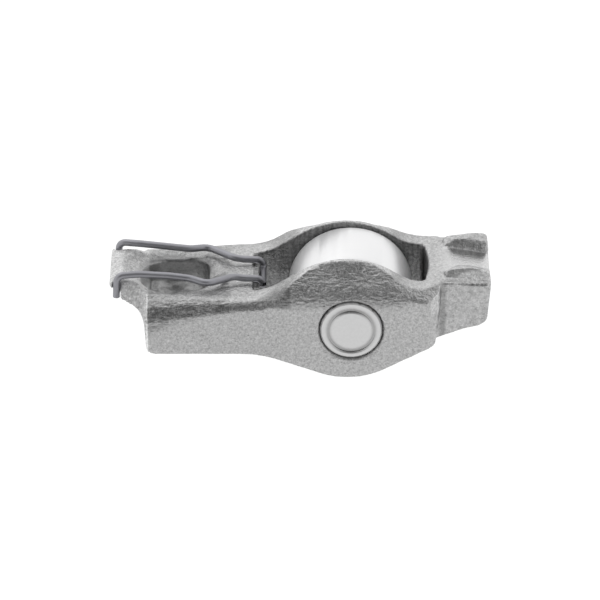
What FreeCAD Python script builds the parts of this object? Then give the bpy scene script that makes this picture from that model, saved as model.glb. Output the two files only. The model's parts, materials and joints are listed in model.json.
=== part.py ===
import FreeCAD, Part
import math
import os

from FreeCAD import Vector

# Roller rocker arm, in millimetres. The origin is on the roller's axis, in the arm's plane of symmetry.
# +X runs to the valve end, +Y across the arm and +Z towards the side with the socket and the valve pad.

# Arm: one thick walled steel channel
WALL_OUTER = 8.85          # outer face of each side wall, from the plane of symmetry
WALL_THICKNESS = 3.78
WALL_BOTTOM_Z = -3.6       # straight lower edge beside the socket
PLATE_TOP_Z = 4.05         # flat top beside the socket
PLATE_BEND = 8.0           # rounding where that top turns up into the humps
HUMP_X = -0.66
HUMP_TOP_Z = 8.8           # crown of each wall beside the roller
HUMP_TOP_RADIUS = 11.7
HUMP_SLOPE_DEG = 32.5
HUMP_FOOT_BEND = 5.0       # rounding where the hump runs out towards the valve end
LOBE_X = -0.5
LOBE_BOTTOM_Z = -7.16      # lowest point of each wall under the pin
LOBE_RADIUS = 10.5
LOBE_LEFT_SLOPE_DEG = 20.0
LOBE_RIGHT_SLOPE_DEG = 28.0
TOE_ROUND = 0.8            # lower corner of each wall's valve end
LOBE_BEND = 15.0           # rounding from the lobe to the straight lower edge
SHOULDER_FOOT_Z = 5.02     # where the 45 degree shoulder along the humps would meet the outer face
SHOULDER_BLEND = 4.0       # rounding between that shoulder and the upright sides
SHOULDER_RADIUS = 1.5      # rounding of the top outer edges
SHOULDER_END_RADIUS = 3.7  # the same rounding at the socket end
SHOULDER_START_X = -14.6   # where it starts to grow

# Roller window
WINDOW_LEFT_X = -12.9
WINDOW_RIGHT_X = 9.75
WINDOW_CORNER = 0.8
WINDOW_BOW = 0.7           # how far the window's right edge bows out, before its rounding
WINDOW_BOW_RADIUS = 17.0

# Lash adjuster socket
SOCKET_X = -23.3
SOCKET_RADIUS = 4.4
SOCKET_CENTRE_Z = 1.9      # centre of the spherical bottom
SOCKET_MOUTH_Z = 3.15
SOCKET_WALL = 1.2
MOUTH_HALF_WIDTH = 4.5     # the pocket above the ball is a rounded square
MOUTH_LEFT_X = -27.95
MOUTH_LEFT_CORNER = 4.2
MOUTH_RIGHT_X = -18.8
MOUTH_RIGHT_CORNER = 2.4
BOWL_RADIUS = 5.35         # ball that rounds the square pocket's bottom
BOWL_Z = 3.4
DISH_RIM_RADIUS = 6.1
DISH_OUTER_RADIUS = 7.1
DISH_OUTER_Z = 5.35
DISH_APEX_X = -16.3        # point of the V that the dish runs out to
DISH_APEX_INSET = 0.1      # how far the V's flanks stay inside the dish's rim
DISH_APEX_DEG = 31.0
CHANNEL_WALL = 1.7         # thickness of the web between socket and window

# Socket end
SIDE_END_X = -26.8
SIDE_END_LEAN = 0.2        # the end leans out towards the bottom
SIDE_TOE_RADIUS = 1.1
SCOOP_X = -27.35           # corner of the scoop under the plate
SCOOP_Z = 1.95
SCOOP_RADIUS = 2.6
SCOOP_END_Z = 3.33
BEVEL_START_X = -27.5
BEVEL_START_STEP = 0.35    # the narrow bevel on the wall's end, from the outer face inwards
BEVEL_END_X = -30.4
BEVEL_END_STEP = 2.9
RIDGE_X = -30.2
RIDGE_Z = 5.3
RIDGE_BEND = 0.35
FLAP_FOOT_X = -27.3        # where the flap starts to rise
FLAP_FOOT_BEND = 2.0
FLAP_END_X = -32.15
FLAP_END_Z = 4.9
FLAP_TOE_X = -31.3         # lower corner of the flap's wedge shaped tip
FLAP_TOE_Z = 3.6
FLAP_TIP_ROUND = 0.35
FLAP_HALF_WIDTH = 4.95
FLAP_ROOT_HALF_WIDTH = 6.4
FLAP_CORNER = 0.15
FLAP_TAPER_X = 0.1         # the tip's corners are cut back by this much
FLAP_TAPER_Y = 0.3
FLAP_END_HALF_WIDTH = 2.0
FLAP_UNDER_Z = 3.2
FLAP_UNDER_ROUND = 1.0
FLAP_BOTTOM_X = -28.0
FLAP_BOTTOM_Z = 2.2
NOTCH_HALF_WIDTH = 4.25    # the flap's neck between the two wire notches
NOTCH_X = -31.45           # outer edge of each wire notch
LIP_SLOPE_DEG = 43.0
LIP_OFFSET = 6.6           # distance of the sloping lip planes from the origin
LIP_END_TURN_DEG = 161.3   # heading of the plane that ends each lip, from +X towards the side
LIP_END_SLOPE_DEG = 80.85
LIP_END_X = -27.1          # a point of that plane on the rounded shoulder
LIP_END_Y = 7.26
LIP_END_Z = 3.49

# Tongue
TONGUE_END_X = -12.13
TONGUE_HALF_WIDTH = 1.45
TONGUE_ROUND = 0.15
LEDGE_Z = 3.75
LEDGE_HALF_WIDTH = 3.95
LEDGE_APEX_X = -15.5       # corner of each ledge beside the tongue
LEDGE_END_X = -17.6        # its corner beside the wall
LEDGE_GAP = 0.3            # between tongue and ledge

# Valve end
WALL_END_X = 12.0          # at the top; the end leans in towards the bottom
WALL_END_LEAN = 0.9
WALL_END_ROUND = 1.6
WEB_TOP_Z = 5.3            # lowest point of the top between roller and valve pad
WEB_THICKNESS = 3.2
WAIST_Z = 5.95             # height of the top where the walls end
WAIST_STEP = 2.35          # how far the sloping corner reaches in there, from the outer face
WAIST_SLOPE_DEG = 45.65
WAIST_TURN_DEG = 78.0      # heading of that slope, from +X towards the side
LEAF_X_STEP = 0.9          # flat facet on each wall's rounded end
LEAF_Y_STEP = 0.75
LEAF_Z = 3.0
LEAF_SLOPE_DEG = 84.0
LEAF_TURN_DEG = 48.0
BLOCK_STEP = 2.35          # the block's sides, from the walls' outer faces
BLOCK_START_X = 9.0
BLOCK_END_X = 18.45
BLOCK_TOP_Z = 5.87
BLOCK_TOP_FALL = 0.15      # its top falls this much towards the end
BLOCK_TOP_EDGE = 0.25
BLOCK_CORNER = 0.6
BLOCK_LOW_LEAN = 0.5       # the end face leans in towards the bottom
BLOCK_LOW_Z = 0.1
BLOCK_LOW_ROUND = 0.7
BLOCK_HEEL_X = 17.0        # corner between the end face and the lower edge
BLOCK_HEEL_STEP = 0.5
BLOCK_HEEL_ROUND = 1.5
BLOCK_TOE_X = 14.9
BLOCK_TOE_ROUND = 3.0
BLOCK_DROP = 2.3           # its lower side falls this much towards the walls
EAR_START_X = 12.3
EAR_STEP_START = 3.4       # the ears' roots spread towards the end
EAR_STEP_END = 2.7
EAR_TOP_STEP = 4.15        # outer top edge of each ear, where it starts
EAR_INNER = 3.6
EAR_START_Z = 6.9
EAR_TOP_X = 17.2
EAR_TOP_Z = 7.43
EAR_END_Z = 6.8
EAR_ROOT_Z = 4.0
EAR_EDGE = 0.4             # roundings of the ears' corners
EAR_BEND = 1.0
EAR_START_SLOPE_DEG = 40.4
EAR_START_TURN_DEG = 223.7
EAR_TOP_SLOPE_DEG = 12.0
EAR_TOP_FALL = 0.42
EAR_END_SLOPE_DEG = 23.6
EAR_END_TURN_DEG = 299.0
EAR_SIDE_SLOPE_DEG = 62.0
EAR_SIDE_TURN_DEG = 97.0
PAD_START_Z = 6.0
PAD_SLOPE_DEG = 9.7
UNDERCUT_HALF_WIDTH = 3.2  # the hollow below the pad
TOE_Z = -1.1               # lower edge of the block

# Pin and its bore
PIN_DIAMETER = 8.2
PIN_GROOVE_DIAMETER = 6.05
PIN_GROOVE_WIDTH = 0.35
PIN_GROOVE_DEPTH = 0.18
PIN_EDGE = 0.2
BORE_CHAMFER = 0.35

# Roller and needles
ROLLER_DIAMETER = 16.5
ROLLER_SIDE_GAP = 0.2
ROLLER_EDGE = 0.45
NEEDLE_DIAMETER = 1.56
NEEDLE_COUNT = 19
NEEDLE_RUNNING_GAP = 0.02
NEEDLE_SIDE_GAP = 0.25
NEEDLE_EDGE = 0.2

# Wire clip
WIRE_DIAMETER = 0.92
LEG_TIP_Z = 2.9
LEG_LEAN = 0.1
WIRE_BACK_Z = 5.97         # the run beside the flap
WIRE_BACK_X = -28.0
WIRE_MIDDLE_X = -24.0
WIRE_MIDDLE_Y = 4.05
WIRE_MIDDLE_Z = 5.62
WIRE_BEND_X = -21.3
WIRE_BEND_Y = 4.1
WIRE_BEND_Z = 5.28
WIRE_WIDE_X = -19.0        # where the two runs stand furthest apart
WIRE_WIDE_Y = 5.05
WIRE_WIDE_Z = 5.0
WIRE_NARROW_X = -15.5
WIRE_NARROW_Y = 2.62       # from here they run beside the tongue
WIRE_NARROW_Z = 4.72
WIRE_SINK_X = -14.2
WIRE_SINK_Z = 4.5
WIRE_END_Z = 4.4
WIRE_BAR_Z = 3.2           # the cross bar hooks round the tongue's end
WIRE_SEAT = 0.02           # play between the wire and what it rests on
WIRE_BENDS = [0.95, 5.0, 12.0, 2.5, 1.6, 1.8, 3.0, 0.9, 0.75]

WALL_INNER = WALL_OUTER - WALL_THICKNESS
BLOCK_HALF_WIDTH = WALL_OUTER - BLOCK_STEP
SHOULDER_SUM = WALL_OUTER + SHOULDER_FOOT_Z
PIN_RADIUS = PIN_DIAMETER / 2
RACE_RADIUS = PIN_RADIUS + NEEDLE_DIAMETER + 2 * NEEDLE_RUNNING_GAP
FAR = 60.0                 # beyond the arm on every side


def xz(y):
    return lambda u, v: Vector(u, y, v)


def xy(z):
    return lambda u, v: Vector(u, v, z)


def yz(x):
    return lambda u, v: Vector(x, u, v)


def rounded_wire(corners, place):
    """Close a wire through corners (u, v, radius), each rounded by a tangent arc."""
    ends = []
    count = len(corners)
    for i, (u, v, radius) in enumerate(corners):
        here = Vector(u, v, 0)
        back = Vector(*corners[i - 1][:2], 0) - here
        ahead = Vector(*corners[(i + 1) % count][:2], 0) - here
        if radius == 0:
            ends.append((here, here, here))
            continue
        half = back.getAngle(ahead) / 2
        back.normalize()
        ahead.normalize()
        reach = radius / math.tan(half)
        middle = (back + ahead).normalize()
        crown = here + middle * (radius / math.sin(half) - radius)
        ends.append((here + back * reach, crown, here + ahead * reach))
    edges = []
    for i, (start, crown, end) in enumerate(ends):
        if start != end:
            edges.append(Part.Arc(place(start.x, start.y), place(crown.x, crown.y), place(end.x, end.y)).toShape())
        following = ends[(i + 1) % count][0]
        if (following - end).Length > 1e-6:
            edges.append(Part.makeLine(place(end.x, end.y), place(following.x, following.y)))
    return Part.Wire(edges)


def side_prism(corners, half_width):
    """A prism across the arm with an outline in X and Z."""
    face = Part.Face(rounded_wire(corners, xz(-half_width)))
    return face.extrude(Vector(0, 2 * half_width, 0))


def plan_prism(corners, low, high):
    """An upright prism with an outline in X and Y."""
    face = Part.Face(rounded_wire(corners, xy(low)))
    return face.extrude(Vector(0, 0, high - low))


def section_prism(corners, start, end):
    """A prism along the arm with an outline in Y and Z."""
    face = Part.Face(rounded_wire(corners, yz(start)))
    return face.extrude(Vector(end - start, 0, 0))


def mirrored(half):
    """Close an outline given for one side only, as (u, v, radius) with v above 0."""
    return half + [(u, -v, radius) for u, v, radius in reversed(half) if v != 0]


def box(x_low, x_high, y_low, y_high, z_low, z_high):
    return Part.makeBox(x_high - x_low, y_high - y_low, z_high - z_low, Vector(x_low, y_low, z_low))


def both_sides(shape):
    """The shape and its mirror image across the plane of symmetry."""
    return [shape, shape.mirror(Vector(0, 0, 0), Vector(0, 1, 0))]


def beyond_plane(point, normal):
    """A body large enough to cut away all that lies beyond a plane."""
    return Part.makeCylinder(FAR, FAR, point, normal)


def cylinder_across(radius, y_low, y_high):
    return Part.makeCylinder(radius, y_high - y_low, Vector(0, y_low, 0), Vector(0, 1, 0))


def full_circles(shape, diameter):
    """The closed circular edges of one diameter."""
    length = math.pi * diameter
    return [edge for edge in shape.Edges if len(edge.Vertexes) == 1 and abs(edge.Length - length) < 1e-6]


def wall_profile():
    """Side view of the two walls: humps above, lobes below and the scooped socket end."""
    rise = math.tan(math.radians(HUMP_SLOPE_DEG))
    hump_z = HUMP_TOP_Z + HUMP_TOP_RADIUS * (1 / math.cos(math.radians(HUMP_SLOPE_DEG)) - 1)
    hump_left = HUMP_X - (hump_z - PLATE_TOP_Z) / rise
    hump_right = HUMP_X + (hump_z - WEB_TOP_Z) / rise

    left = math.radians(LOBE_LEFT_SLOPE_DEG)
    right = math.radians(LOBE_RIGHT_SLOPE_DEG)
    centre_z = LOBE_BOTTOM_Z + LOBE_RADIUS
    left_c = centre_z - LOBE_RADIUS / math.cos(left) + math.tan(left) * LOBE_X
    right_c = centre_z - LOBE_RADIUS / math.cos(right) - math.tan(right) * LOBE_X
    lobe_x = (left_c - right_c) / (math.tan(left) + math.tan(right))
    lobe_z = left_c - math.tan(left) * lobe_x
    flat_end = (left_c - WALL_BOTTOM_Z) / math.tan(left)
    toe_x = WALL_END_X - WALL_END_LEAN
    toe_z = right_c + math.tan(right) * toe_x

    return [
        (FLAP_END_X, PLATE_TOP_Z, 0),
        (hump_left, PLATE_TOP_Z, PLATE_BEND),
        (HUMP_X, hump_z, HUMP_TOP_RADIUS),
        (hump_right, WEB_TOP_Z, HUMP_FOOT_BEND),
        (WALL_END_X, WAIST_Z, 0),
        (toe_x, toe_z, TOE_ROUND),
        (lobe_x, lobe_z, LOBE_RADIUS),
        (flat_end, WALL_BOTTOM_Z, LOBE_BEND),
        (SIDE_END_X - SIDE_END_LEAN, WALL_BOTTOM_Z, SIDE_TOE_RADIUS),
        (SCOOP_X, SCOOP_Z, SCOOP_RADIUS),
        (BEVEL_END_X, SCOOP_END_Z, 0),
        (FLAP_END_X, SCOOP_END_Z, 0),
    ]


def plan_outline():
    """Top view of the walls: straight sides, a bevelled socket end and the waist before the ears."""
    return mirrored([
        (WALL_END_X - WALL_END_LEAN / 4, BLOCK_HALF_WIDTH, 0),
        (WALL_END_X - WALL_END_LEAN / 2, WALL_OUTER, WALL_END_ROUND),
        (SIDE_END_X, WALL_OUTER, 0),
        (BEVEL_START_X, WALL_OUTER - BEVEL_START_STEP, 0),
        (BEVEL_END_X, WALL_OUTER - BEVEL_END_STEP, 0),
    ])


def shoulder_section():
    """Cross section: upright sides under 45 degree shoulders."""
    return [
        (WALL_OUTER, -FAR, 0), (WALL_OUTER, SHOULDER_SUM - WALL_OUTER, SHOULDER_BLEND),
        (0, SHOULDER_SUM, 0),
        (-WALL_OUTER, SHOULDER_SUM - WALL_OUTER, SHOULDER_BLEND), (-WALL_OUTER, -FAR, 0),
    ]


def shoulder_cutter():
    """What the growing rounding takes from one top outer edge, from the socket end to the hump."""
    sections = []
    growth = (SHOULDER_END_RADIUS - SHOULDER_RADIUS) / (SHOULDER_START_X - SIDE_END_X)
    for x in (FLAP_END_X, SHOULDER_START_X + 1):
        radius = SHOULDER_RADIUS + growth * (SHOULDER_START_X - x)
        side = Vector(x, WALL_OUTER, PLATE_TOP_Z - radius)
        top = Vector(x, WALL_OUTER - radius, PLATE_TOP_Z)
        turn = radius * math.sqrt(0.5)
        crown = Vector(x, WALL_OUTER - radius + turn, PLATE_TOP_Z - radius + turn)
        corner = Vector(x, WALL_OUTER + 1, PLATE_TOP_Z + 1)
        edges = [
            Part.Arc(side, crown, top).toShape(),
            Part.makeLine(top, top + Vector(0, 0, 1)),
            Part.makeLine(top + Vector(0, 0, 1), corner),
            Part.makeLine(corner, side + Vector(0, 1, 0)),
            Part.makeLine(side + Vector(0, 1, 0), side),
        ]
        sections.append(Part.Wire(edges))
    return Part.makeLoft(sections, True, True)


def is_top_rim(edge):
    """Whether an edge lies on a wall's outer face, along the humps and the flats beside them."""
    middle = edge.CenterOfMass
    across = abs(edge.Vertexes[0].Y - edge.Vertexes[-1].Y)
    return middle.z > PLATE_TOP_Z - 1e-6 and abs(abs(middle.y) - WALL_OUTER) < 1e-6 and across < 1e-6


def make_walls():
    """The outer body of the channel before anything is cut from it."""
    body = side_prism(wall_profile(), WALL_OUTER)
    socket_part = body.common(box(-FAR, SHOULDER_START_X, -FAR, FAR, -FAR, FAR))
    socket_part = socket_part.cut(both_sides(shoulder_cutter()))
    roller_part = body.common(box(SHOULDER_START_X, FAR, -FAR, FAR, -FAR, FAR))
    rims = [edge for edge in roller_part.Edges if is_top_rim(edge)]
    roller_part = roller_part.makeFillet(SHOULDER_RADIUS, rims)
    roller_part = roller_part.common(section_prism(shoulder_section(), -FAR, FAR))
    body = socket_part.fuse(roller_part).removeSplitter()
    body = body.common(plan_prism(plan_outline(), -FAR, FAR))
    for cutter in waist_cutters():
        body = body.cut(both_sides(cutter))
    return body


def make_flap():
    """The turned up lip at the socket end, wider at its tip so that it holds the wire's legs."""
    profile = [
        (SOCKET_X, PLATE_TOP_Z, 0), (FLAP_FOOT_X, PLATE_TOP_Z, FLAP_FOOT_BEND), (RIDGE_X, RIDGE_Z, RIDGE_BEND),
        (FLAP_END_X, FLAP_END_Z, FLAP_TIP_ROUND), (FLAP_TOE_X, FLAP_TOE_Z, FLAP_TIP_ROUND),
        (RIDGE_X, FLAP_UNDER_Z, FLAP_UNDER_ROUND), (FLAP_BOTTOM_X, FLAP_BOTTOM_Z, 0), (SOCKET_X, FLAP_BOTTOM_Z, 0),
    ]
    outline = mirrored([
        (SOCKET_X, FLAP_ROOT_HALF_WIDTH, 0),
        (BEVEL_END_X, FLAP_ROOT_HALF_WIDTH, 0),
        (BEVEL_END_X, NOTCH_HALF_WIDTH, FLAP_CORNER),
        (NOTCH_X, NOTCH_HALF_WIDTH, FLAP_CORNER),
        (NOTCH_X, FLAP_HALF_WIDTH, FLAP_CORNER),
        (FLAP_END_X + FLAP_TAPER_X, FLAP_HALF_WIDTH - FLAP_TAPER_Y, FLAP_CORNER),
        (FLAP_END_X, FLAP_END_HALF_WIDTH, 0),
    ])
    return side_prism(profile, WALL_OUTER).common(plan_prism(outline, -FAR, FAR))


def slope_normal(slope_deg, turn_deg):
    """The normal of a plane that slopes down towards a heading, both in degrees."""
    slope = math.radians(slope_deg)
    turn = math.radians(turn_deg)
    return Vector(math.sin(slope) * math.cos(turn), math.sin(slope) * math.sin(turn), math.cos(slope))


def lip_cutter():
    """What the sloping lip plane takes from one corner of the socket end."""
    lip = slope_normal(LIP_SLOPE_DEG, 90)
    cut = box(BEVEL_END_X - 0.3, SOCKET_X, 0, FAR, -FAR, FAR).common(beyond_plane(lip * LIP_OFFSET, lip))
    end = slope_normal(LIP_END_SLOPE_DEG, LIP_END_TURN_DEG)
    return cut.common(beyond_plane(Vector(LIP_END_X, LIP_END_Y, LIP_END_Z), end))


def waist_cutters():
    """What a sloping plane and a leaf shaped facet take from one wall where it narrows to the valve end."""
    waist = Vector(WALL_END_X, WALL_OUTER - WAIST_STEP, WAIST_Z)
    leaf = Vector(WALL_END_X - LEAF_X_STEP, WALL_OUTER - LEAF_Y_STEP, LEAF_Z)
    return [
        beyond_plane(waist, slope_normal(WAIST_SLOPE_DEG, WAIST_TURN_DEG)),
        beyond_plane(leaf, slope_normal(LEAF_SLOPE_DEG, LEAF_TURN_DEG)),
    ]


def make_block():
    """The narrower valve end with its rounded toe, as high as its ledges beside the ears."""
    profile = [
        (WALL_END_X, BLOCK_TOP_Z, 0), (BLOCK_END_X, BLOCK_TOP_Z - BLOCK_TOP_FALL, BLOCK_TOP_EDGE),
        (BLOCK_END_X - BLOCK_LOW_LEAN, BLOCK_LOW_Z, BLOCK_LOW_ROUND),
        (BLOCK_HEEL_X, TOE_Z + BLOCK_HEEL_STEP, BLOCK_HEEL_ROUND), (BLOCK_TOE_X, TOE_Z, BLOCK_TOE_ROUND),
        (BLOCK_START_X, TOE_Z - BLOCK_DROP, 0), (BLOCK_START_X, WEB_TOP_Z - 1, 0),
    ]
    outline = mirrored([
        (BLOCK_START_X, BLOCK_HALF_WIDTH, 0), (BLOCK_END_X, BLOCK_HALF_WIDTH, BLOCK_CORNER),
    ])
    return side_prism(profile, BLOCK_HALF_WIDTH).common(plan_prism(outline, -FAR, FAR))


def pad_height(x):
    return PAD_START_Z - (x - EAR_START_X) * math.tan(math.radians(PAD_SLOPE_DEG))


def make_ears():
    """Two guide ears beside the valve pad, spreading towards the end, with slanted tops."""
    profile = [
        (EAR_START_X, EAR_ROOT_Z, 0), (EAR_START_X, EAR_START_Z, EAR_EDGE), (EAR_TOP_X, EAR_TOP_Z, EAR_BEND),
        (BLOCK_END_X - 0.2, EAR_END_Z, EAR_EDGE), (BLOCK_END_X, EAR_ROOT_Z, 0),
    ]
    start = WALL_OUTER - EAR_STEP_START
    end = WALL_OUTER - EAR_STEP_END
    outline = mirrored([(EAR_START_X, start, EAR_EDGE), (BLOCK_END_X, end, EAR_BEND)])
    ears = side_prism(profile, WALL_OUTER).common(plan_prism(outline, -FAR, FAR))
    slants = []
    for point, slope, turn in (
        (Vector(EAR_START_X, EAR_INNER, PAD_START_Z), EAR_START_SLOPE_DEG, EAR_START_TURN_DEG),
        (Vector(EAR_TOP_X, EAR_INNER, EAR_TOP_Z - EAR_TOP_FALL), EAR_TOP_SLOPE_DEG, 270.0),
        (Vector(BLOCK_END_X, EAR_INNER, EAR_END_Z - EAR_EDGE), EAR_END_SLOPE_DEG, EAR_END_TURN_DEG),
        (Vector(EAR_START_X, WALL_OUTER - EAR_TOP_STEP, EAR_START_Z), EAR_SIDE_SLOPE_DEG, EAR_SIDE_TURN_DEG),
    ):
        slants += both_sides(beyond_plane(point, slope_normal(slope, turn)).common(box(0, FAR, 0, FAR, -FAR, FAR)))
    return ears.cut(slants)


def valve_slot():
    """The ground slot between the ears, whose floor is the valve pad."""
    low = pad_height(BLOCK_END_X + 1)
    profile = [
        (EAR_START_X, PAD_START_Z, 0), (EAR_START_X, FAR, 0), (BLOCK_END_X + 1, FAR, 0), (BLOCK_END_X + 1, low, 0),
    ]
    return side_prism(profile, EAR_INNER)


def mouth_outline(margin):
    """Plan of the pocket above the ball, a rounded square, grown by a margin."""
    return mirrored([
        (MOUTH_RIGHT_X + margin, MOUTH_HALF_WIDTH + margin, MOUTH_RIGHT_CORNER + margin),
        (MOUTH_LEFT_X - margin, MOUTH_HALF_WIDTH + margin, MOUTH_LEFT_CORNER + margin),
    ])


def socket_boss():
    """The cup that stands below the plate under the socket."""
    cup = Part.makeSphere(SOCKET_RADIUS + SOCKET_WALL, Vector(SOCKET_X, 0, SOCKET_CENTRE_Z))
    collar = plan_prism(mouth_outline(SOCKET_WALL), SOCKET_CENTRE_Z - SOCKET_WALL, SOCKET_MOUTH_Z)
    return [cup.cut(box(-FAR, FAR, -FAR, FAR, SOCKET_CENTRE_Z, FAR)), collar]


def socket_cutters():
    """The pocket for the lash adjuster's ball: a ball seat, a rounded square above it and a dished mouth."""
    ball = Part.makeSphere(SOCKET_RADIUS, Vector(SOCKET_X, 0, SOCKET_CENTRE_Z))
    ball = ball.cut(box(-FAR, FAR, -FAR, FAR, SOCKET_CENTRE_Z, FAR))
    bowl = Part.makeSphere(BOWL_RADIUS, Vector(SOCKET_X, 0, BOWL_Z))
    lower = plan_prism(mouth_outline(0), -FAR, BOWL_Z).common(bowl)
    upper = plan_prism(mouth_outline(0), BOWL_Z, FAR)
    pocket = lower.fuse([ball, upper])

    slope = (PLATE_TOP_Z - SOCKET_MOUTH_Z) / (DISH_RIM_RADIUS - SOCKET_RADIUS)
    bottom = SOCKET_MOUTH_Z - slope * SOCKET_RADIUS / 2
    rim = [
        Vector(0, 0, bottom), Vector(SOCKET_RADIUS / 2, 0, bottom), Vector(DISH_RIM_RADIUS, 0, PLATE_TOP_Z),
        Vector(DISH_OUTER_RADIUS, 0, DISH_OUTER_Z), Vector(DISH_OUTER_RADIUS, 0, DISH_OUTER_Z + 2),
        Vector(0, 0, DISH_OUTER_Z + 2), Vector(0, 0, bottom),
    ]
    dish = Part.Face(Part.makePolygon(rim)).revolve(Vector(0, 0, 0), Vector(0, 0, 1), 360)
    dish.translate(Vector(SOCKET_X, 0, 0))

    turn = math.radians(DISH_APEX_DEG)
    reach = DISH_APEX_X + 1 - SOCKET_X
    spread = reach * math.tan(turn)
    vee = plan_prism([
        (SOCKET_X, 0, 0), (SOCKET_X + reach, spread, 0), (SOCKET_X + reach, -spread, 0),
    ], bottom, DISH_OUTER_Z + 2)
    for side in (-1, 1):
        out = Vector(math.cos(turn), side * math.sin(turn), 0)
        rim_point = Vector(SOCKET_X, 0, PLATE_TOP_Z) + out * (DISH_RIM_RADIUS - DISH_APEX_INSET)
        vee = vee.common(beyond_plane(rim_point, Vector(-slope * out.x, -slope * out.y, 1)))
    return [pocket, dish, vee]


def window_cutter():
    """The slot for the roller, with a bowed edge at the valve end and the tongue left standing."""
    outline = mirrored([
        (WINDOW_RIGHT_X + WINDOW_BOW, 0, WINDOW_BOW_RADIUS),
        (WINDOW_RIGHT_X, WALL_INNER, WINDOW_CORNER),
        (WINDOW_LEFT_X, WALL_INNER, WINDOW_CORNER), (WINDOW_LEFT_X, TONGUE_HALF_WIDTH, TONGUE_ROUND),
        (TONGUE_END_X, TONGUE_HALF_WIDTH, TONGUE_ROUND),
    ])
    return plan_prism(outline, -FAR, FAR)


def ledge_cutter():
    """The sunk ledge on one side of the tongue, behind the sloping arm of the ridge."""
    outline = [
        (WINDOW_LEFT_X + 1, TONGUE_HALF_WIDTH + LEDGE_GAP, 0),
        (LEDGE_APEX_X, TONGUE_HALF_WIDTH + LEDGE_GAP, 1.0),
        (LEDGE_END_X, LEDGE_HALF_WIDTH, 0.3), (WINDOW_LEFT_X + 1, LEDGE_HALF_WIDTH, 0),
    ]
    return plan_prism(outline, LEDGE_Z, FAR)


def underside_cutters():
    """The open cam side: the channel between the walls at both ends of the window."""
    socket_side = plan_prism([
        (SOCKET_X, -WALL_INNER, 0), (WINDOW_LEFT_X + 1, -WALL_INNER, 0),
        (WINDOW_LEFT_X + 1, WALL_INNER, 0), (SOCKET_X, WALL_INNER, 0),
    ], -FAR, LEDGE_Z - CHANNEL_WALL)
    valve_side = plan_prism(mirrored([
        (WINDOW_RIGHT_X - 1, UNDERCUT_HALF_WIDTH, 0), (BLOCK_END_X - WEB_THICKNESS, UNDERCUT_HALF_WIDTH, 1.5),
    ]), -FAR, WEB_TOP_Z - WEB_THICKNESS)
    return socket_side, valve_side


def bore_cutter():
    """The pin's bore through both walls, with a chamfer at each outer face."""
    cut = cylinder_across(PIN_RADIUS, -FAR, FAR)
    for side in (-1, 1):
        cone = Part.makeCone(
            PIN_RADIUS + 2 * BORE_CHAMFER, PIN_RADIUS, 2 * BORE_CHAMFER,
            Vector(0, side * (WALL_OUTER + BORE_CHAMFER), 0), Vector(0, -side, 0))
        cut = cut.fuse(cone)
    return cut


def make_arm():
    """The formed steel arm, one solid."""
    body = make_walls().fuse([make_flap(), make_block(), make_ears()])
    for cutter in both_sides(lip_cutter()):
        body = body.cut(cutter)
    socket_side, valve_side = underside_cutters()
    body = body.cut([window_cutter(), socket_side, valve_side, valve_slot()])
    body = body.fuse(socket_boss())
    for cutter in socket_cutters():
        body = body.cut(cutter)
    body = body.cut([bore_cutter()] + both_sides(ledge_cutter()))
    body = body.removeSplitter()
    if len(body.Solids) != 1:
        raise ValueError("the arm came out as %d solids" % len(body.Solids))
    return body.Solids[0]


def make_pin():
    """The staked axle, flush with the walls, with a shallow ring groove in each face."""
    pin = cylinder_across(PIN_RADIUS, -WALL_OUTER, WALL_OUTER)
    pin = pin.makeChamfer(PIN_EDGE, full_circles(pin, PIN_DIAMETER))
    for side in (-1, 1):
        outer = Part.makeCylinder(
            (PIN_GROOVE_DIAMETER + PIN_GROOVE_WIDTH) / 2, PIN_GROOVE_DEPTH,
            Vector(0, side * WALL_OUTER, 0), Vector(0, -side, 0))
        inner = Part.makeCylinder(
            (PIN_GROOVE_DIAMETER - PIN_GROOVE_WIDTH) / 2, PIN_GROOVE_DEPTH,
            Vector(0, side * WALL_OUTER, 0), Vector(0, -side, 0))
        pin = pin.cut(outer.cut(inner))
    return pin


def make_roller():
    """The cam roller's outer ring."""
    half = WALL_INNER - ROLLER_SIDE_GAP
    tyre = cylinder_across(ROLLER_DIAMETER / 2, -half, half)
    tyre = tyre.makeFillet(ROLLER_EDGE, full_circles(tyre, ROLLER_DIAMETER))
    return tyre.cut(cylinder_across(RACE_RADIUS, -FAR, FAR))


def make_needle(number):
    """One of the loose needles between pin and roller."""
    half = WALL_INNER - NEEDLE_SIDE_GAP
    needle = cylinder_across(NEEDLE_DIAMETER / 2, -half, half)
    needle = needle.makeFillet(NEEDLE_EDGE, full_circles(needle, NEEDLE_DIAMETER))
    turn = 2 * math.pi * number / NEEDLE_COUNT
    track = (PIN_RADIUS + RACE_RADIUS) / 2
    needle.translate(Vector(track * math.sin(turn), 0, track * math.cos(turn)))
    return needle


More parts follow.
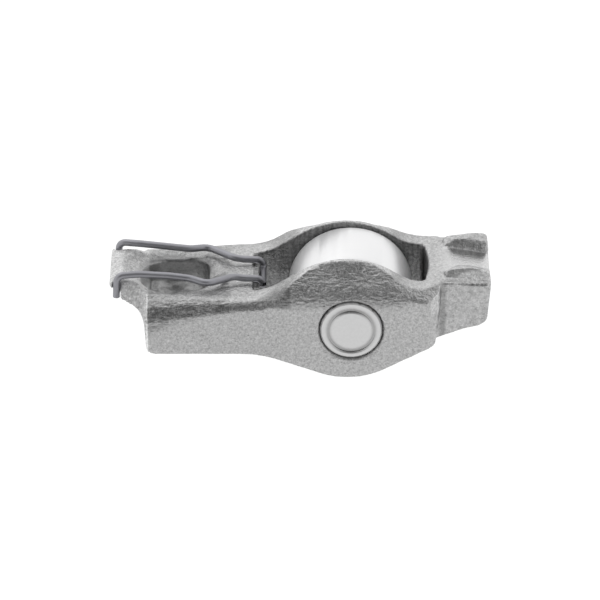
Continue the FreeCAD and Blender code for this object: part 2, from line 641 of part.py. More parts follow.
def clip_route():
    """Corners of the wire from the tip of one leg to the middle of the cross bar, as (point, bend radius)."""
    half = WIRE_DIAMETER / 2 + WIRE_SEAT
    leg_x = BEVEL_END_X - half
    leg_y = NOTCH_HALF_WIDTH + half
    bar_x = TONGUE_END_X + half
    points = [
        Vector(leg_x, leg_y, WIRE_BACK_Z),
        Vector(WIRE_BACK_X, NOTCH_HALF_WIDTH, WIRE_BACK_Z),
        Vector(WIRE_MIDDLE_X, WIRE_MIDDLE_Y, WIRE_MIDDLE_Z),
        Vector(WIRE_BEND_X, WIRE_BEND_Y, WIRE_BEND_Z),
        Vector(WIRE_WIDE_X, WIRE_WIDE_Y, WIRE_WIDE_Z),
        Vector(WIRE_NARROW_X, WIRE_NARROW_Y, WIRE_NARROW_Z),
        Vector(WIRE_SINK_X, WIRE_NARROW_Y, WIRE_SINK_Z),
        Vector(bar_x, WIRE_NARROW_Y, WIRE_END_Z),
        Vector(bar_x, WIRE_NARROW_Y, WIRE_BAR_Z),
    ]
    tip = Vector(leg_x - LEG_LEAN, leg_y + LEG_LEAN, LEG_TIP_Z)
    return [(tip, 0)] + list(zip(points, WIRE_BENDS))


def make_clip():
    """The spring wire that holds the lash adjuster: one wire bent to a U, along both sides of the socket."""
    half = clip_route()
    corners = half + [(Vector(p.x, -p.y, p.z), r) for p, r in reversed(half)]
    edges = []
    at = corners[0][0]
    for i in range(1, len(corners) - 1):
        here, radius = corners[i]
        back = (corners[i - 1][0] - here).normalize()
        ahead = (corners[i + 1][0] - here).normalize()
        opening = back.getAngle(ahead) / 2
        reach = radius / math.tan(opening)
        start = here + back * reach
        end = here + ahead * reach
        crown = here + (back + ahead).normalize() * (radius / math.sin(opening) - radius)
        edges.append(Part.makeLine(at, start))
        edges.append(Part.Arc(start, crown, end).toShape())
        at = end
    edges.append(Part.makeLine(at, corners[-1][0]))
    path = Part.Wire(edges)
    direction = edges[0].tangentAt(edges[0].FirstParameter)
    ring = Part.Wire(Part.makeCircle(WIRE_DIAMETER / 2, corners[0][0], direction))
    wire = path.makePipeShell([ring], True, True)
    if not wire.isValid():
        raise ValueError("the wire's sweep is not valid")
    return wire


def main():
    os.makedirs("parts", exist_ok=True)
    nodes = {"arm": make_arm(), "pin": make_pin(), "roller": make_roller(), "clip": make_clip()}
    for number in range(NEEDLE_COUNT):
        nodes["needle_%02d" % (number + 1)] = make_needle(number)
    for name, shape in nodes.items():
        shape.exportStep("parts/%s.step" % name)
        print(name, "volume %.2f" % shape.Volume, "valid", shape.isValid(), "solids", len(shape.Solids))


main()
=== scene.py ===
import json
import math

import bpy
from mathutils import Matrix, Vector, noise

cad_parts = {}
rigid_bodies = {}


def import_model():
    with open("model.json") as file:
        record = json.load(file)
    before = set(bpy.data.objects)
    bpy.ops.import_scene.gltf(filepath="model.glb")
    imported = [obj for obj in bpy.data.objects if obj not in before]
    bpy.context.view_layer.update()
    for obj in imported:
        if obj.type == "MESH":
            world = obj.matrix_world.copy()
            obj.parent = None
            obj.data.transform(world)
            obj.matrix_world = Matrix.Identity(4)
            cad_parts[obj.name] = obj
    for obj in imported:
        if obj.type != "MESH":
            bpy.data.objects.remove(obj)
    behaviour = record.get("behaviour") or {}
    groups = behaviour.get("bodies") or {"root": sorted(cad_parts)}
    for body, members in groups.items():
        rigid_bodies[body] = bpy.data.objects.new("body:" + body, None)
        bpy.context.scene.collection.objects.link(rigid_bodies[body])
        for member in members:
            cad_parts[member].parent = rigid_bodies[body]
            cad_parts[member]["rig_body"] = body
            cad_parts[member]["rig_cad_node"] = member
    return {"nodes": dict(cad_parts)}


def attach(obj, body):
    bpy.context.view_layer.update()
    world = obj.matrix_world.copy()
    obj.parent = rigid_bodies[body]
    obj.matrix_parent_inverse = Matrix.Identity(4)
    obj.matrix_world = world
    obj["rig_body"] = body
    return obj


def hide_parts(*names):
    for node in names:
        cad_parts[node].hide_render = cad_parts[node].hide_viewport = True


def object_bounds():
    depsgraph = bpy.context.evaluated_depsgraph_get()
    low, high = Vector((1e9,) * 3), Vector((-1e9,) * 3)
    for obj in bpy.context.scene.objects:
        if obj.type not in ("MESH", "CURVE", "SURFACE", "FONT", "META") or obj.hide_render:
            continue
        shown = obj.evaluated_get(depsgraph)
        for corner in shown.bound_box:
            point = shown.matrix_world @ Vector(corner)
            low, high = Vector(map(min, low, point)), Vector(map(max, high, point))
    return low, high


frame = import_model()
cad_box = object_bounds()

# Camera
# The photograph looks along +Y from 29 degrees above the floor and from far away, with the arm's socket
# end on the left. One millimetre beside the roller's axis is 7.5 pixels there.
MM = 0.001
PHOTO_PIXELS = 600
PIXELS_PER_MM = 7.5
ROLLER_AXIS_PIXEL = (350.5, 298.2)
CAMERA_ELEVATION = math.radians(29)
CAMERA_LENS = 260
CAMERA_SENSOR = 36

camera_up = Vector((0, math.sin(CAMERA_ELEVATION), math.cos(CAMERA_ELEVATION)))
camera_back = Vector((0, -math.cos(CAMERA_ELEVATION), math.sin(CAMERA_ELEVATION)))
frame_width = PHOTO_PIXELS / PIXELS_PER_MM * MM
centre_right = (PHOTO_PIXELS / 2 - ROLLER_AXIS_PIXEL[0]) / PIXELS_PER_MM * MM
centre_up = (ROLLER_AXIS_PIXEL[1] - PHOTO_PIXELS / 2) / PIXELS_PER_MM * MM
camera_target = Vector((centre_right, 0, 0)) + centre_up * camera_up
camera_distance = frame_width * CAMERA_LENS / CAMERA_SENSOR

bpy.ops.object.camera_add(
    location=camera_target + camera_distance * camera_back,
    rotation=(math.pi / 2 - CAMERA_ELEVATION, 0, 0))
camera = bpy.context.object
camera.data.lens = CAMERA_LENS
camera.data.sensor_width = CAMERA_SENSOR
camera.data.clip_start = 0.01
bpy.context.scene.camera = camera
bpy.context.scene.view_settings.view_transform = "Standard"


# Studio
# A white floor and white surroundings on all sides but one: the dark part of the room behind the
# camera, from the floor to well above it, is what the sloping shoulders of the steel mirror.
class Value:
    """A shader socket that can be used in sums and products."""

    def __init__(self, tree, socket):
        self.tree = tree
        self.socket = socket

    def math(self, operation, *others):
        inputs = dict(enumerate((self,) + others))
        return self.tree.node("ShaderNodeMath", {"operation": operation}, inputs).out()

    def __add__(self, other):
        return self.math("ADD", other)

    def __sub__(self, other):
        return self.math("SUBTRACT", other)

    def __mul__(self, other):
        return self.math("MULTIPLY", other)

    def __rsub__(self, other):
        return self.tree.node("ShaderNodeMath", {"operation": "SUBTRACT"}, {0: other, 1: self}).out()

    __radd__ = __add__
    __rmul__ = __mul__

    def ramp(self, low, high):
        """0 below low, 1 above high and smooth between."""
        settings = {"interpolation_type": "SMOOTHSTEP"}
        limits = {"Value": self, 1: low, 2: high, 3: 0.0, 4: 1.0}
        return self.tree.node("ShaderNodeMapRange", settings, limits).out()


class Node:
    """A shader node whose outputs come as values."""

    def __init__(self, tree, node):
        self.tree = tree
        self.node = node

    def out(self, name=0):
        return Value(self.tree, self.node.outputs[name])


class Tree:
    """The nodes of one material or world."""

    def __init__(self, owner):
        owner.use_nodes = True
        self.nodes = owner.node_tree.nodes
        self.links = owner.node_tree.links
        self.nodes.clear()

    def node(self, kind, settings=None, inputs=None):
        made = self.nodes.new(kind)
        for name, value in (settings or {}).items():
            setattr(made, name, value)
        for name, value in (inputs or {}).items():
            if isinstance(value, Value):
                self.links.new(value.socket, made.inputs[name])
            else:
                made.inputs[name].default_value = value
        return Node(self, made)


WHITE = (1, 1, 1, 1)
DARK_SIDE = Vector((0.0, -0.80, 0.60))
DARK_EDGE = 0.72
DARK_CORE = 0.93
DARK_LEVEL = 0.07
BRIGHT_LEVEL = 1.0

world = bpy.data.worlds.new("studio")
bpy.context.scene.world = world
air = Tree(world)
direction = air.node("ShaderNodeTexCoord").out("Generated")
compared = air.node("ShaderNodeVectorMath", {"operation": "DOT_PRODUCT"}, {0: direction, 1: DARK_SIDE})
towards_dark = compared.out("Value")
level = BRIGHT_LEVEL - towards_dark.ramp(DARK_EDGE, DARK_CORE) * (BRIGHT_LEVEL - DARK_LEVEL)
camera_ray = air.node("ShaderNodeLightPath").out("Is Camera Ray")
strength = level * (1 - camera_ray) + camera_ray
glow = air.node("ShaderNodeBackground", None, {"Color": WHITE, "Strength": strength})
air.node("ShaderNodeOutputWorld", None, {"Surface": glow.out()})

FLOOR_SIZE = 4.0
FLOOR_GAP = 0.2 * MM
FLOOR_COLOUR = (0.9, 0.9, 0.9, 1)
FLOOR_GLOW = 0.9
GLARE = (1.12, 1.12, 1.12, 1)
bpy.ops.mesh.primitive_plane_add(size=FLOOR_SIZE, location=(0, 0, cad_box[0][2] - FLOOR_GAP))
floor = bpy.context.object
floor.name = "floor"

# White paper, which shines by itself where it is seen or mirrored, and is open from below, so that the
# part's underside can be looked at.
paper = bpy.data.materials.new("white_paper")
sheet = Tree(paper)
seen = sheet.node("ShaderNodeLightPath")
direct = seen.out("Is Camera Ray").math("MAXIMUM", seen.out("Is Glossy Ray"))
lit = sheet.node("ShaderNodeBsdfDiffuse", None, {"Color": FLOOR_COLOUR})
glare = sheet.node("ShaderNodeMix", {"data_type": "RGBA"}, {
    0: seen.out("Is Camera Ray"), 6: WHITE, 7: GLARE})
shine = sheet.node("ShaderNodeEmission", None, {"Color": glare.out(2), "Strength": 1.0})
blend = sheet.node("ShaderNodeMixShader", None, {0: direct * FLOOR_GLOW, 1: lit.out(), 2: shine.out()})
back_side = sheet.node("ShaderNodeNewGeometry").out("Backfacing")
open_below = sheet.node("ShaderNodeBsdfTransparent")
one_sided = sheet.node("ShaderNodeMixShader", None, {0: back_side, 1: blend.out(), 2: open_below.out()})
sheet.node("ShaderNodeOutputMaterial", None, {"Surface": one_sided.out()})
floor.data.materials.append(paper)

# One soft lamp high up behind the arm, on the socket's side.
LAMP_PLACE = Vector((-0.16, 0.20, 0.34))
LAMP_SIZE = 0.30
LAMP_POWER = 0.16
bpy.ops.object.light_add(type="AREA", location=LAMP_PLACE)
lamp = bpy.context.object
lamp.name = "soft_lamp"
lamp.data.size = LAMP_SIZE
lamp.data.energy = LAMP_POWER
lamp.rotation_euler = (-LAMP_PLACE).to_track_quat("-Z", "Y").to_euler()

# Arm
# One piece of thick steel plate, hot formed to a channel with a hump and a lobe on each wall, hardened
# and blasted, so every edge is soft and the skin is grainy. The formed slopes have a wrinkled skin.
WALL_INNER = 5.07 * MM
WALL_OUTER = 8.85 * MM
ARM_VOXEL = 0.2 * MM
ARM_SMOOTHING = 5


def finished_copy(node, name):
    """A merged copy of a CAD node's mesh as a new piece."""
    piece = frame["nodes"][node].copy()
    piece.data = piece.data.copy()
    piece.data.materials.clear()
    piece.name = name
    piece.parent = None
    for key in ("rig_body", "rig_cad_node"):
        if key in piece:
            del piece[key]
    bpy.context.scene.collection.objects.link(piece)
    bpy.ops.object.select_all(action="DESELECT")
    piece.select_set(True)
    bpy.context.view_layer.objects.active = piece
    bpy.ops.object.mode_set(mode="EDIT")
    bpy.ops.mesh.select_all(action="SELECT")
    bpy.ops.mesh.remove_doubles(threshold=0.001 * MM)
    bpy.ops.object.mode_set(mode="OBJECT")
    return piece


def apply_modifier(piece, name, kind, **settings):
    modifier = piece.modifiers.new(name, kind)
    for key, value in settings.items():
        setattr(modifier, key, value)
    bpy.context.view_layer.objects.active = piece
    bpy.ops.object.modifier_apply(modifier=name)


arm = finished_copy("arm", "arm_body")
apply_modifier(arm, "remesh", "REMESH", mode="VOXEL", voxel_size=ARM_VOXEL, use_smooth_shade=True)
apply_modifier(arm, "soften", "SMOOTH", factor=0.5, iterations=ARM_SMOOTHING)

# Wrinkles of the forming lie on the slopes and in a crumpled patch below the shoulder at the socket end.
WRINKLE_HEIGHT = 0.075 * MM
WRINKLE_SIZE = Vector((1.5, 0.62, 0.62)) * MM
WRINKLE_SINK = 0.8
SLOPE_UP = 0.60
SLOPE_SPREAD = 0.36
SIDE_START_X = -26.8 * MM
CRUMPLED_END_X = -15.0 * MM
CRUMPLED_TOP_Z = 1.6 * MM
CRUMPLED_BOTTOM_Z = -1.8 * MM
CRUMPLED_SHARE = 0.6


def steepness(up):
    """1 where the skin slopes at about 45 degrees, 0 where it is level or upright."""
    return max(0.0, 1.0 - abs(abs(up) - SLOPE_UP) / SLOPE_SPREAD)


def crumpled(at):
    """1 in the middle of the crumpled patch, 0 outside it."""
    along = (at.x - SIDE_START_X) / (CRUMPLED_END_X - SIDE_START_X)
    if not 0 < along < 1 or abs(at.y) < WALL_INNER:
        return 0.0
    bottom = CRUMPLED_BOTTOM_Z + (CRUMPLED_TOP_Z - CRUMPLED_BOTTOM_Z) * along
    height = (at.z - bottom) / (CRUMPLED_TOP_Z - bottom)
    return max(0.0, 1.0 - abs(2 * height - 1)) ** 0.5


def wrinkles(at):
    """Long low folds along the arm, up to 1.5 high and deep."""
    folded = Vector(at[i] / WRINKLE_SIZE[i] for i in range(3))
    return noise.noise(folded) + 0.5 * noise.noise(folded * 2.1)


# Each hump has a narrow flat along its crown, where the plain solid is sharp.
CROWN_X = -0.66 * MM
CROWN_Z = 8.8 * MM
CROWN_RADIUS = 11.7 * MM
CROWN_FLAT = 0.62 * MM
CROWN_FALL = 1.5
CROWN_UP = 0.3


def crown_lift(at):
    """How much a point on a hump's sloping shoulder rises to leave the flat along the crown."""
    off = at.x - CROWN_X
    out = abs(at.y) - WALL_INNER
    if abs(off) > CROWN_RADIUS / 2 or out < 0:
        return 0.0
    top = CROWN_Z - CROWN_RADIUS + math.sqrt(CROWN_RADIUS ** 2 - off ** 2)
    wanted = top - max(0.0, out - CROWN_FLAT) * CROWN_FALL
    return max(0.0, wanted - (CROWN_Z - out))


# The lip's two top corners come up to the wire, and the lip's own face isn't wrinkled.
LIP_END_X = -26.7 * MM
LIP_LIFT = 0.32 * MM
LIP_LIFT_X = -28.3 * MM
LIP_LIFT_Y = 4.6 * MM
LIP_LIFT_Z = 3.6 * MM
LIP_LIFT_REACH = Vector((2.0, 1.6, 0.7)) * MM


def lip_lift(at):
    """How much a point on the socket end's two top corners rises to close the gap below the wire."""
    along = 1 - ((at.x - LIP_LIFT_X) / LIP_LIFT_REACH.x) ** 2
    across = 1 - ((abs(at.y) - LIP_LIFT_Y) / LIP_LIFT_REACH.y) ** 2
    above = min(1.0, (at.z - LIP_LIFT_Z) / LIP_LIFT_REACH.z)
    return LIP_LIFT * max(0.0, along) * max(0.0, across) * max(0.0, above)


# The bore's mouth is a clean chamfer, a little wider than the pin, so a thin dark ring shows round it.
BORE_RADIUS = 4.13 * MM
BORE_EDGE_RADIUS = 4.22 * MM
BORE_HIDDEN_RADIUS = 3.51 * MM
CHAMFER_RADIUS = 4.50 * MM
CHAMFER_Y = 8.45 * MM


def clear_of_pin(at):
    """Move a point near the pin on to a clean round bore with a clean chamfer."""
    radius = math.hypot(at.x, at.z)
    if abs(at.y) < WALL_INNER + ARM_VOXEL or not BORE_HIDDEN_RADIUS < radius < CHAMFER_RADIUS:
        return at
    if abs(at.y) < CHAMFER_Y:
        wanted = max(radius, BORE_RADIUS)
        return Vector((at.x * wanted / radius, at.y, at.z * wanted / radius))
    wanted = max(radius, BORE_EDGE_RADIUS)
    side = math.copysign(WALL_OUTER - (CHAMFER_RADIUS - wanted), at.y)
    return Vector((at.x * wanted / radius, side, at.z * wanted / radius))


skin_places = [vertex.co.copy() for vertex in arm.data.vertices]
skin_normals = [vertex.normal.copy() for vertex in arm.data.vertices]
for vertex, at, normal in zip(arm.data.vertices, skin_places, skin_normals):
    depth = 0.0
    if at.x > LIP_END_X:
        share = max(steepness(normal.z), CRUMPLED_SHARE * crumpled(at))
        depth = WRINKLE_HEIGHT * (wrinkles(at) - WRINKLE_SINK) * share
    lift = lip_lift(at)
    if normal.z > CROWN_UP and at.z > 0:
        lift += crown_lift(at)
    moved = clear_of_pin(at + normal * depth + Vector((0, 0, lift)))
    moved.y = max(-WALL_OUTER, min(WALL_OUTER, moved.y))
    vertex.co = moved


def object_place(tree):
    return tree.node("ShaderNodeTexCoord").out("Object")


def stretched(tree, place, scale):
    """Places for noise that is drawn out along each axis whose scale is below 1."""
    return tree.node("ShaderNodeMapping", None, {0: place, "Scale": scale}).out()


def noise_of(tree, place, size, detail=2.0):
    """Soft noise with lumps of one size, from about -0.5 to 0.5."""
    settings = {"Vector": place, "Scale": 1 / size, "Detail": detail}
    return tree.node("ShaderNodeTexNoise", None, settings).out("Fac") - 0.5


def between(value, low, high, soft):
    """1 where a value lies between two limits, with soft edges."""
    return value.ramp(low - soft, low + soft) * (1 - value.ramp(high - soft, high + soft))


def finish(tree, colour, tone, roughness, height, height_size, metallic=1.0):
    """A metal surface with a colour times a varying tone and a bump of a given height."""
    grey = tree.node("ShaderNodeCombineColor", None, {0: tone, 1: tone, 2: tone}).out()
    tint = tree.node("ShaderNodeMix", {"data_type": "RGBA", "blend_type": "MULTIPLY"}, {
        0: 1.0, 6: colour, 7: grey})
    bump = tree.node("ShaderNodeBump", None, {"Strength": 1.0, "Distance": height_size, "Height": height})
    surface = tree.node("ShaderNodeBsdfPrincipled", None, {
        "Base Color": tint.out(2), "Metallic": metallic, "Roughness": roughness, "Normal": bump.out()})
    tree.node("ShaderNodeOutputMaterial", None, {"Surface": surface.out()})


arm_steel = bpy.data.materials.new("arm_steel")
skin = Tree(arm_steel)
spot = object_place(skin)
place = skin.node("ShaderNodeSeparateXYZ", None, {0: spot})
along = place.out(0)
out = place.out(1).math("ABSOLUTE")
up = place.out(2)

GRAIN_SIZE = 0.20 * MM
CRUMB_SIZE = 0.42 * MM
CLOUD_SIZE = 3.0 * MM
RAGGED_SIZE = 1.3 * MM
STREAK_SIZE = 0.4 * MM
FOLD_SIZE = 0.36 * MM
grain = noise_of(skin, spot, GRAIN_SIZE)
crumbs = noise_of(skin, spot, CRUMB_SIZE)
cloud = noise_of(skin, spot, CLOUD_SIZE)
ragged = noise_of(skin, spot, RAGGED_SIZE)
window_shade_streaks = noise_of(skin, stretched(skin, spot, (1, 1, 0.12)), STREAK_SIZE)
folds = noise_of(skin, stretched(skin, spot, (0.4, 1, 1)), FOLD_SIZE)

# The tones' edges follow how high a point of the side lies as the camera sees it.
RAGGED_HEIGHT = 0.9 * MM
facing = up * math.cos(CAMERA_ELEVATION) - out * math.sin(CAMERA_ELEVATION) + ragged * RAGGED_HEIGHT
from_lip = along - SIDE_START_X

# Painted shade: the dark band along the shoulder at the socket end, widest at the end.
BAND_LOW = -3.3 * MM
BAND_LOW_RISE = 0.155
BAND_LOW_LIMIT = -1.42 * MM
BAND_HIGH = -1.25 * MM
BAND_HIGH_RISE = 0.062
BAND_STEP_X = -14.0 * MM
BAND_STEP = 1.7 * MM
BAND_END_X = -8.0 * MM
shoulder_shade_low = (from_lip * BAND_LOW_RISE + BAND_LOW).math("MINIMUM", BAND_LOW_LIMIT)
shoulder_shade_high = from_lip * BAND_HIGH_RISE + BAND_HIGH + along.ramp(BAND_STEP_X, BAND_END_X) * BAND_STEP
painted_shoulder_shade = (facing - shoulder_shade_low).ramp(-0.3 * MM, 0.25 * MM) * (shoulder_shade_high - facing).ramp(-0.15 * MM, 0.35 * MM)
painted_shoulder_shade = painted_shoulder_shade * between(along, SIDE_START_X - 0.1 * MM, BAND_END_X, 0.3 * MM)
painted_shoulder_shade = painted_shoulder_shade * out.ramp(5.0 * MM, 5.5 * MM)

# Folds of the hot formed skin: over the humps, but not on their flat crowns, and in the crumpled patch.
HUMP_START_X = -10.5 * MM
HUMP_END_X = 6.8 * MM
HUMP_LOW = -1.4 * MM
HUMP_HIGH = 4.5 * MM
PATCH_LOW = -5.7 * MM
PATCH_RISE = 0.36
PATCH_END_X = -16.0 * MM
# Painted highlight along each hump's flat crown, which also stays free of folds.
crown_off = along - CROWN_X
crown_top = (CROWN_RADIUS ** 2 - crown_off * crown_off).math("SQRT") + (CROWN_Z - CROWN_RADIUS)
lit_crown_flat = (up - crown_top).ramp(-0.30 * MM, -0.12 * MM) * between(along, -7.0 * MM, 5.5 * MM, 0.8 * MM)
# Painted shade on the humps' slopes, which also carry the folds.
hump_folds_and_shade = between(along, HUMP_START_X, HUMP_END_X, 1.6 * MM) * between(facing, HUMP_LOW, HUMP_HIGH, 0.5 * MM)
hump_folds_and_shade = hump_folds_and_shade * (1 - lit_crown_flat)
patch_low = from_lip * PATCH_RISE + PATCH_LOW
patch = between(along, SIDE_START_X, PATCH_END_X, 0.4 * MM) * (facing - patch_low).ramp(0.0, 1.5 * MM)
below_shoulder_shade = 1 - (facing - shoulder_shade_high).ramp(0.0, 0.6 * MM)
folded = hump_folds_and_shade.math("MAXIMUM", patch * below_shoulder_shade) * out.ramp(5.3 * MM, 5.8 * MM)

# Painted shade inside the roller window, on its two sides and its two ends, broken up in vertical streaks.
WINDOW_START_X = -12.95 * MM
WINDOW_END_X = 9.7 * MM
WINDOW_BOW_X = 10.8 * MM
END_WALL_TOP = 5.0 * MM
end_wall = between(along, 9.5 * MM, WINDOW_BOW_X, 0.05 * MM) * (1 - up.ramp(END_WALL_TOP, 5.15 * MM))
window_shade = between(along, WINDOW_START_X, WINDOW_END_X, 0.05 * MM).math("MAXIMUM", end_wall)
window_shade = window_shade * (1 - out.ramp(5.08 * MM, 5.2 * MM))

# Smooth metal on the ground pad, whose plane falls towards the end, and in the socket, with painted shade
# on its rim.
PAD_START = Vector((12.3, 0, 6.0)) * MM
PAD_FALL = 0.171
PAD_HALF_WIDTH = 3.2 * MM
SOCKET_X = -23.3 * MM
pad_height = up - PAD_START.z + (along - PAD_START.x) * PAD_FALL
pad = between(pad_height, -0.38 * MM, 0.12 * MM, 0.05 * MM) * along.ramp(10.6 * MM, 13.8 * MM)
pad = pad * (1 - out.ramp(PAD_HALF_WIDTH, PAD_HALF_WIDTH + 0.15 * MM))
from_socket = ((along - SOCKET_X) * (along - SOCKET_X) + out * out).math("SQRT")
socket = (1 - from_socket.ramp(4.8 * MM, 5.6 * MM)) * (1 - up.ramp(3.6 * MM, 4.0 * MM))
socket_rim_shade = between(from_socket, 4.7 * MM, 5.4 * MM, 0.35 * MM) * between(up, 3.0 * MM, 4.2 * MM, 0.15 * MM)

# The torn face of the lip, rougher and with painted light, a painted highlight along its corner line, and
# painted shade on the chamfer round the pin.
lit_rough_lip = 1 - along.ramp(LIP_END_X - 0.3 * MM, LIP_END_X)
corner = between(along, -26.98 * MM, -26.74 * MM, 0.05 * MM) * out.ramp(5.9 * MM, 6.6 * MM)
from_pin = (along * along + up * up).math("SQRT")
pin_joint_shade = (1 - from_pin.ramp(4.3 * MM, 4.42 * MM)) * out.ramp(7.9 * MM, 8.1 * MM)

# The ears: painted shade at their start and in the nook beside it, and painted light on their outer slope,
# which is also rougher.
EAR_FOOT_Z = 5.9 * MM
ear_start_shade = between(along, 12.1 * MM, 12.42 * MM, 0.06 * MM)
ear_start_shade = ear_start_shade * up.ramp(6.05 * MM, 6.2 * MM) * out.ramp(4.0 * MM, 4.1 * MM)
nook_shadow = between(along, 11.6 * MM, 12.5 * MM, 0.3 * MM) * between(out, 6.3 * MM, 6.65 * MM, 0.1 * MM)
lit_rough_ear_side = between(along, 14.0 * MM, 18.6 * MM, 0.9 * MM)
lit_rough_ear_side = lit_rough_ear_side * out.ramp(4.9 * MM, 5.3 * MM) * up.ramp(EAR_FOOT_Z, EAR_FOOT_Z + 0.1 * MM)

# The painted highlight on the leaf between the wall's end and the valve block, which lies on a slanted
# plane.
LEAF_POINT = Vector((11.1, 8.1, 3.0)) * MM
LEAF_NORMAL = Vector((0.665, 0.739, 0.105))
leaf_height = (along - LEAF_POINT.x) * LEAF_NORMAL.x
leaf_height = leaf_height + (out - LEAF_POINT.y) * LEAF_NORMAL.y + (up - LEAF_POINT.z) * LEAF_NORMAL.z
leaf_highlight = leaf_height.ramp(-0.08 * MM, -0.03 * MM) * between(up, 2.3 * MM, 5.2 * MM, 0.3 * MM)
leaf_highlight = leaf_highlight * between(along, 10.5 * MM, 11.8 * MM, 0.15 * MM) * out.ramp(6.7 * MM, 6.9 * MM)

ARM_COLOUR = (0.50, 0.50, 0.50, 1)
SKIN_BUMP = 0.07 * MM
calm = 1 - pad * 0.7 - socket * 0.6
skin_tone = 1.0 + (grain * 0.9 + crumbs * 0.85) * calm + folds * (folded * 0.7 + patch * 0.7) + cloud * 0.2
# The masks above put painted shade and painted light into the tone here.
skin_tone = skin_tone * (1 - painted_shoulder_shade * 0.38) * (1 - window_shade * (0.44 - window_shade_streaks * 0.7)) * (1 - pin_joint_shade * 0.4)
skin_tone = skin_tone * (1 - hump_folds_and_shade * 0.22 - patch * 0.2 - socket_rim_shade * 0.2 - nook_shadow * 0.3 - ear_start_shade * 0.4)
skin_tone = skin_tone * (1 + pad * 0.34 + socket * 0.12 + lit_rough_lip * 0.42 + corner * 0.6)
skin_tone = skin_tone * (1 + lit_rough_ear_side * 0.5 + leaf_highlight * 0.25 + lit_crown_flat * 0.16)
skin_roughness = 0.40 + cloud * 0.15 + lit_rough_lip * 0.32 - pad * 0.15 + lit_rough_ear_side * 0.3
skin_height = (grain + crumbs * 1.3) * calm + folds * folded * 2.6
finish(skin, ARM_COLOUR, skin_tone, skin_roughness, skin_height, SKIN_BUMP)
arm.data.materials.append(arm_steel)
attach(arm, "arm")
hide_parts("arm")

# Pin
# The staked axle: a turned face with fine rings, a soft groove near its rim and a slightly raised middle,
# with painted shade in the groove and along the rim.
PIN_COLOUR = (0.66, 0.66, 0.66, 1)
PIN_RADIUS = 4.1 * MM
PIN_GROOVE_RADIUS = 3.02 * MM
PIN_GROOVE_SPREAD = 0.55 * MM
PIN_RING_PITCH = 0.11 * MM
PIN_MOTTLE_SIZE = 0.35 * MM
PIN_BUMP = 0.10 * MM
SHARP_EDGE = math.radians(35)

pin = finished_copy("pin", "pin_body")
bpy.ops.object.shade_auto_smooth(angle=SHARP_EDGE)
pin_steel = bpy.data.materials.new("pin_steel")
turned = Tree(pin_steel)
spot = object_place(turned)
split = turned.node("ShaderNodeSeparateXYZ", None, {0: spot})
across = split.out(0)
upward = split.out(2)
from_axis = (across * across + upward * upward).math("SQRT")
rings = (from_axis * (2 * math.pi / PIN_RING_PITCH)).math("SINE")
groove_shade_and_height = (from_axis - PIN_GROOVE_RADIUS).math("ABSOLUTE").ramp(0.0, PIN_GROOVE_SPREAD)
mottle = noise_of(turned, spot, PIN_MOTTLE_SIZE)
chamfer = from_axis.ramp(PIN_RADIUS - 0.22 * MM, PIN_RADIUS - 0.16 * MM)
pin_edge_shade = from_axis.ramp(PIN_RADIUS - 0.1 * MM, PIN_RADIUS)
pin_tone = (0.62 + groove_shade_and_height * 0.38 + mottle * 0.14) * (1 - pin_edge_shade * 0.3)
pin_roughness = 0.34 + mottle * 0.1 + chamfer * 0.4
pin_height = groove_shade_and_height * 1.6 + rings * 0.02 + mottle * 0.12
finish(turned, PIN_COLOUR, pin_tone, pin_roughness, pin_height, PIN_BUMP)
pin.data.materials.append(pin_steel)
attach(pin, "arm")
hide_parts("pin")

# Roller
# The ground tyre: bright and smooth, with faint grinding lines round it, and rougher ends with painted
# shade beside the arm's walls. Nothing in its paint changes round the axis, so it looks the same however
# far it has turned.
ROLLER_COLOUR = (0.95, 0.95, 0.955, 1)
ROLLER_LINE_SIZE = 2.4 * MM
ROLLER_LINE_SCALE = (1, 24, 1)
ROLLER_BUMP = 0.002 * MM

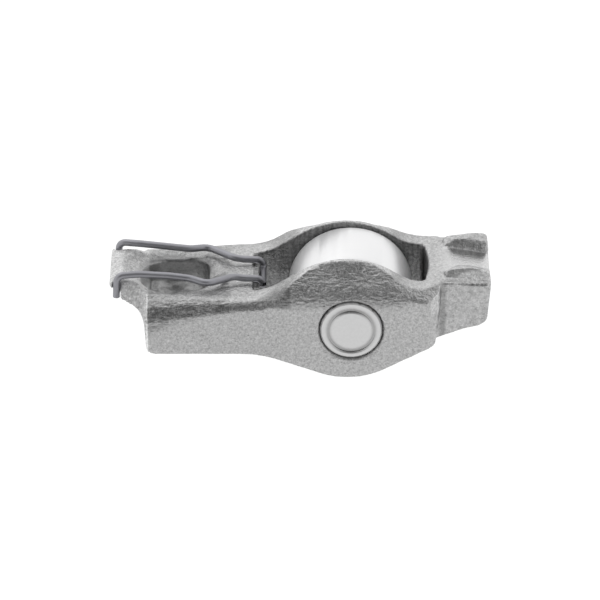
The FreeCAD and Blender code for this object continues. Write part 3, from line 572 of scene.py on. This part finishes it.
roller = finished_copy("roller", "roller_body")
bpy.ops.object.shade_auto_smooth(angle=SHARP_EDGE)
roller_steel = bpy.data.materials.new("roller_steel")
ground = Tree(roller_steel)
spot = object_place(ground)
side = ground.node("ShaderNodeSeparateXYZ", None, {0: spot}).out(1)
lines = noise_of(ground, stretched(ground, spot, ROLLER_LINE_SCALE), ROLLER_LINE_SIZE)
wall_shade_and_rough_ends = side.math("ABSOLUTE").ramp(3.6 * MM, 4.8 * MM)
roller_tone = 1.0 + lines * 0.05 - wall_shade_and_rough_ends * 0.16
roller_roughness = 0.34 + wall_shade_and_rough_ends * 0.1 + lines * 0.05
finish(ground, ROLLER_COLOUR, roller_tone, roller_roughness, lines, ROLLER_BUMP, metallic=0.5)
roller.data.materials.append(roller_steel)
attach(roller, "roller")
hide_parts("roller")

# Clip
# Drawn spring wire, smooth with faint lengthwise drawing marks and a cool, slightly violet temper. Its
# hooks behind the tongue lie in shadow.
CLIP_COLOUR = (0.35, 0.35, 0.375, 1)
CLIP_MARK_SIZE = 0.12 * MM
CLIP_MARK_SCALE = (0.12, 1, 1)
CLIP_STAIN_SIZE = 2.0 * MM
CLIP_BUMP = 0.006 * MM
HOOK_X = -12.5 * MM
HOOK_TOP_Z = 4.3 * MM

clip = finished_copy("clip", "clip_wire")
bpy.ops.object.shade_auto_smooth(angle=SHARP_EDGE)
spring_wire = bpy.data.materials.new("spring_wire")
drawn = Tree(spring_wire)
spot = object_place(drawn)
marks = noise_of(drawn, stretched(drawn, spot, CLIP_MARK_SCALE), CLIP_MARK_SIZE)
stain = noise_of(drawn, spot, CLIP_STAIN_SIZE)
split = drawn.node("ShaderNodeSeparateXYZ", None, {0: spot})
above_hook = split.out(2).ramp(HOOK_TOP_Z, HOOK_TOP_Z + 0.4 * MM)
hook = split.out(0).ramp(HOOK_X, HOOK_X + 0.4 * MM) * (1 - above_hook * 0.5)
wire_tone = (1.0 + marks * 0.25 + stain * 0.2) * (1 - hook * 0.4)
finish(drawn, CLIP_COLOUR, wire_tone, 0.48 + marks * 0.12, marks, CLIP_BUMP)
clip.data.materials.append(spring_wire)
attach(clip, "arm")
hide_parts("clip")

# Needles
# Hidden between pin and roller: bright ground rollers with the faintest grinding marks.
NEEDLE_COLOUR = (0.80, 0.80, 0.80, 1)
NEEDLE_MARK_SIZE = 0.3 * MM
NEEDLE_BUMP = 0.002 * MM

needle_steel = bpy.data.materials.new("needle_steel")
bright = Tree(needle_steel)
scratches = noise_of(bright, object_place(bright), NEEDLE_MARK_SIZE)
finish(bright, NEEDLE_COLOUR, 1.0 + scratches * 0.06, 0.20 + scratches * 0.08, scratches, NEEDLE_BUMP)
for name, node in frame["nodes"].items():
    if name.startswith("needle"):
        node.data.materials.clear()
        node.data.materials.append(needle_steel)
